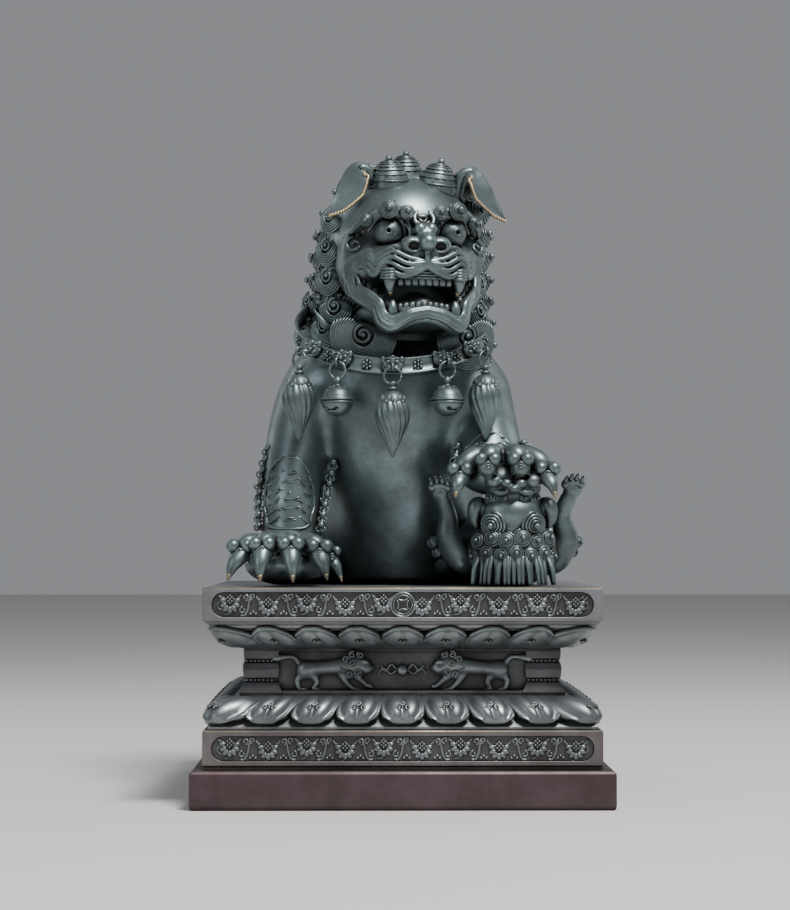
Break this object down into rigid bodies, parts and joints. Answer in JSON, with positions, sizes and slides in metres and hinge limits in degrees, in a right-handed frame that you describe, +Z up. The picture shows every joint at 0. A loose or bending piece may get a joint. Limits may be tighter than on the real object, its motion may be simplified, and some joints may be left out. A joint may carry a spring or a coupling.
{
  "type": "foo dog statue",
  "caption": "Seated bronze guardian lion with a belled collar and one paw on her cub, on a tiered lotus pedestal.",
  "frame": {"origin": "centre of the pedestal's underside", "axes": "+Z up, the lion faces -Y, +X is the lion's own left"},
  "size_m": [0.26, 0.285, 0.418],
  "materials": {
    "patinated_bronze": "dark grey-green chemical patina over cast bronze, waxed, rubbed to brass on exposed edges",
    "dark_recess_bronze": "near-black brown patina left in recesses",
    "zinc_plated_steel": "zinc-plated sheet and fasteners",
    "felt": "dark green wool felt"
  },
  "bodies": {
    "statue": {"base_plinth": "patinated_bronze", "lower_frieze_block": "patinated_bronze", "lower_lotus_course": "patinated_bronze", "top_slab": "patinated_bronze", "torso": "patinated_bronze", "right_foreleg": "patinated_bronze", "left_foreleg": "patinated_bronze", "right_haunch": "patinated_bronze", "left_haunch": "patinated_bronze", "tail": "patinated_bronze", "cub_body": "patinated_bronze", "cub_head": "patinated_bronze", "skull": "patinated_bronze", "lower_jaw": "patinated_bronze", "right_eye": "patinated_bronze", "left_eye": "patinated_bronze", "right_ear": "patinated_bronze", "left_ear": "patinated_bronze", "mane": "patinated_bronze", "collar_band": "patinated_bronze", "waist_block": "dark_recess_bronze", "upper_lotus_course": "dark_recess_bronze", "tongue": "dark_recess_bronze", "lower_frieze_front": "dark_recess_bronze", "lower_frieze_left": "dark_recess_bronze", "lower_frieze_back": "dark_recess_bronze", "lower_frieze_right": "dark_recess_bronze", "upper_frieze_front": "dark_recess_bronze", "upper_frieze_left": "dark_recess_bronze", "upper_frieze_back": "dark_recess_bronze", "upper_frieze_right": "dark_recess_bronze", "bottom_cover": "zinc_plated_steel", "cover_screw_1": "zinc_plated_steel", "cover_screw_2": "zinc_plated_steel", "cover_screw_3": "zinc_plated_steel", "cover_screw_4": "zinc_plated_steel", "mounting_stud_front": "zinc_plated_steel", "mounting_stud_rear": "zinc_plated_steel", "mounting_nut_front": "zinc_plated_steel", "mounting_nut_rear": "zinc_plated_steel", "base_felt": "felt", "right_tassel_mask": "patinated_bronze", "right_bell_mask": "patinated_bronze", "centre_tassel_mask": "patinated_bronze", "left_bell_mask": "patinated_bronze", "left_tassel_mask": "patinated_bronze"},
    "right_tassel": {"right_tassel_ring": "patinated_bronze", "right_tassel": "patinated_bronze"},
    "right_bell": {"right_bell_ring": "patinated_bronze", "right_bell_upper_shell": "patinated_bronze", "right_bell_lower_shell": "patinated_bronze"},
    "right_bell_pellet": {"right_bell_pellet": "dark_recess_bronze"},
    "centre_tassel": {"centre_tassel_ring": "patinated_bronze", "centre_tassel": "patinated_bronze"},
    "left_bell": {"left_bell_ring": "patinated_bronze", "left_bell_upper_shell": "patinated_bronze", "left_bell_lower_shell": "patinated_bronze"},
    "left_bell_pellet": {"left_bell_pellet": "dark_recess_bronze"},
    "left_tassel": {"left_tassel_ring": "patinated_bronze", "left_tassel": "patinated_bronze"}
  },
  "joints": [
    {"name": "right_tassel_swing", "type": "hinge", "parent": "statue", "child": "right_tassel", "pos_m": [-0.06494, -0.08768, 0.28366], "axis": [-0.7271, 0.6865, 0], "range_deg": [0, 35]},
    {"name": "right_bell_swing", "type": "hinge", "parent": "statue", "child": "right_bell", "pos_m": [-0.0405, -0.09704, 0.27636], "axis": [-0.9069, 0.4213, 0], "range_deg": [0, 35]},
    {"name": "right_bell_rattle", "type": "slide", "parent": "right_bell", "child": "right_bell_pellet", "axis": [0, 0, 1], "range_m": [0, 0.009]},
    {"name": "centre_tassel_swing", "type": "hinge", "parent": "statue", "child": "centre_tassel", "pos_m": [-0.006, -0.1046, 0.2723], "axis": [-1, 0, 0], "range_deg": [0, 35]},
    {"name": "left_bell_swing", "type": "hinge", "parent": "statue", "child": "left_bell", "pos_m": [0.02849, -0.09704, 0.27636], "axis": [-0.9069, -0.4213, 0], "range_deg": [0, 35]},
    {"name": "left_bell_rattle", "type": "slide", "parent": "left_bell", "child": "left_bell_pellet", "axis": [0, 0, 1], "range_m": [0, 0.009]},
    {"name": "left_tassel_swing", "type": "hinge", "parent": "statue", "child": "left_tassel", "pos_m": [0.05294, -0.08768, 0.28366], "axis": [-0.7271, -0.6865, 0], "range_deg": [0, 35]}
  ]
}
